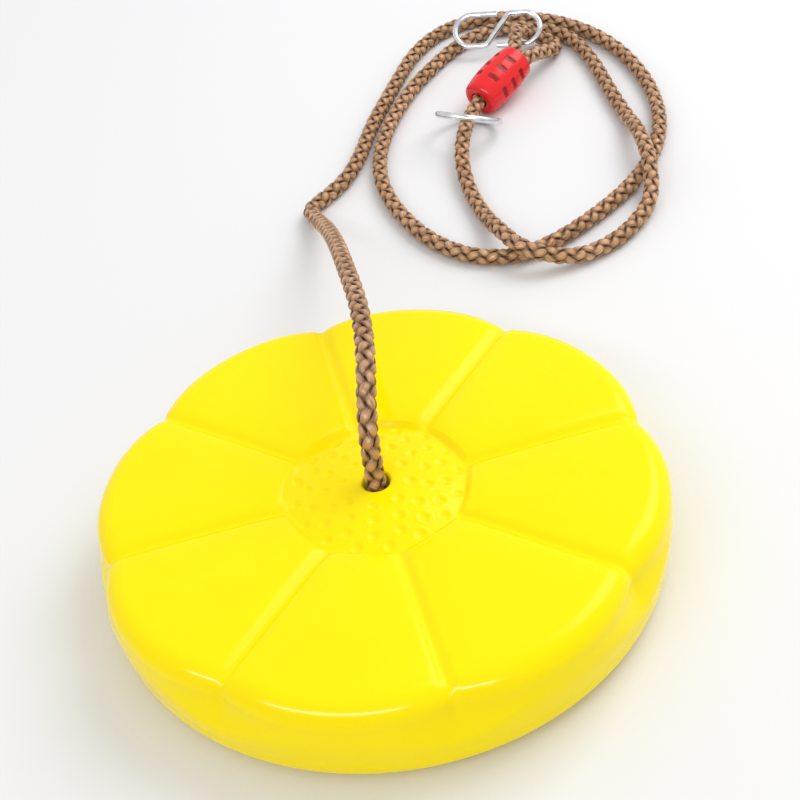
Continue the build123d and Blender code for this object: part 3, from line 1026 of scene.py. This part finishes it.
def hook_line():
    """Middle of the hook's wire: two round loops joined by the slanted wire."""
    loop, reach, cross = HOOK_LOOP_RADIUS, HOOK_HALF_LENGTH, HOOK_CROSS
    slant = Vector((2 * cross, 2 * loop)).normalized() * HOOK_BEND
    half = [(-HOOK_TIP_GAP, loop), (-HOOK_LOOP_START, loop)]
    for corner in range(4):
        angle = (2.5 + corner) * EIGHTH_TURN
        radius = loop / math.cos(EIGHTH_TURN / 2)
        half.append((-reach + radius * math.cos(angle), radius * math.sin(angle)))
    half += [
        (-HOOK_LOOP_START, -loop),
        (-cross - HOOK_BEND, -loop),
        (-cross, -loop),
        (-cross + slant.x, -loop + slant.y),
    ]
    flat = half + [(-x, -y) for x, y in half[::-1]]
    across = HOOK_SIDE * math.cos(HOOK_TILT) + HOOK_ALONG.cross(HOOK_SIDE) * math.sin(HOOK_TILT)
    return [tuple(HOOK_CENTRE + HOOK_ALONG * x + across * y) for x, y in flat]


def make_hook():
    """The bent wire, with closely spaced points at its rounded ends."""
    line = evenly(nurbs_points(hook_line()), HOOK_STEP)
    along, side, _ = line_frames(line, (0, 0, 1))
    places = length_along(line)
    length = places[-1]
    ends = HOOK_END_ROUNDING * (1 - np.cos(np.linspace(0, math.pi / 2, HOOK_END_STEPS)))
    middle = places[(places > ends[-1]) & (places < length - ends[-1])]
    closer = np.concatenate([ends, middle, length - ends[::-1]])
    line, side, along = (values_at(closer, places, values) for values in (line, side, along))
    side /= np.linalg.norm(side, axis=1)[:, None]
    from_end = np.clip(np.minimum(closer, closer[-1] - closer), 0, HOOK_END_ROUNDING)
    rounded_off = HOOK_END_ROUNDING - np.sqrt(HOOK_END_ROUNDING**2 - (HOOK_END_ROUNDING - from_end) ** 2)
    wire = HOOK_WIRE_RADIUS - rounded_off
    points, faces = swept_section(line, along, side, wire, wire, WIRE_SIDES, 0)
    hook = new_mesh("hook_wire", points, faces)
    flatten_ends(hook)
    hook.data.materials.append(ZINC)
    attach(hook, "hook")
    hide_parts("s_hook")
    return hook


# ------------------------------------------------------------------ staging
FLOOR_REACH = 60.0
FLOOR_HEIGHT = -0.0002


def make_stage():
    """Pale floor with no visible edge, a hair below the object so that the two never coincide."""
    signs = ((-1, -1), (1, -1), (1, 1), (-1, 1))
    corners = [(x * FLOOR_REACH, y * FLOOR_REACH, FLOOR_HEIGHT) for x, y in signs]
    floor = new_mesh("floor", corners, [(0, 1, 2, 3)], smooth=False)
    material, _, _, shader = new_material("floor")
    shader.inputs["Base Color"].default_value = (0.77, 0.77, 0.78, 1)
    shader.inputs["Roughness"].default_value = 0.6
    shader.inputs["Specular IOR Level"].default_value = 0.2
    floor.data.materials.append(material)


def area_light(name, place, aim, size, power, only_glints=False):
    """A rectangular light that faces its aim; with only_glints it shows in reflections alone."""
    data = bpy.data.lights.new(name, "AREA")
    data.shape = "RECTANGLE"
    data.size, data.size_y = size
    data.energy = power
    light = bpy.data.objects.new(name, data)
    bpy.context.scene.collection.objects.link(light)
    light.location = place
    light.rotation_mode = "QUATERNION"
    light.rotation_quaternion = (Vector(aim) - Vector(place)).to_track_quat("-Z", "Y")
    light.visible_diffuse = not only_glints


def make_lights():
    """White surroundings, a large soft light behind, and strips in front for the rims' highlights."""
    world = bpy.data.worlds.new("studio")
    world.use_nodes = True
    background = world.node_tree.nodes["Background"]
    background.inputs["Color"].default_value = (1, 1, 1, 1)
    background.inputs["Strength"].default_value = 0.83
    bpy.context.scene.world = world
    area_light("key", (0.9, 1.1, 1.5), (0, 0.15, 0), (1.3, 1.3), 19.5)
    area_light("fill", (-0.35, -1.30, 1.25), (0, 0, 0), (1.3, 0.16), 5)
    area_light("rim_strip", (-0.25, -1.30, 1.25), (0, 0, 0), (2.2, 0.22), 38, only_glints=True)


# ------------------------------------------------------------------ the scene
bpy.context.scene.view_settings.view_transform = "Standard"
make_camera()
ROPE_MATERIAL = rope_fibre()
CORE_MATERIAL = rope_core_painted_shade()
ZINC = zinc_steel()
BARREL_MATERIAL = barrel_plastic()
rope, rope_line = make_rope()
make_stem()
make_knot()
make_seat()
upper = make_barrel_half("barrel_upper_half", "barrel_shell_upper", 0.0)
lower = make_barrel_half("barrel_lower_half", "barrel_shell_lower", math.pi)
ring = make_ring()
hook = make_hook()
for name in ("seat_washer", "rope_crimp"):
    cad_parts[name].data.materials.clear()
    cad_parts[name].data.materials.append(ZINC)
make_stage()
make_lights()
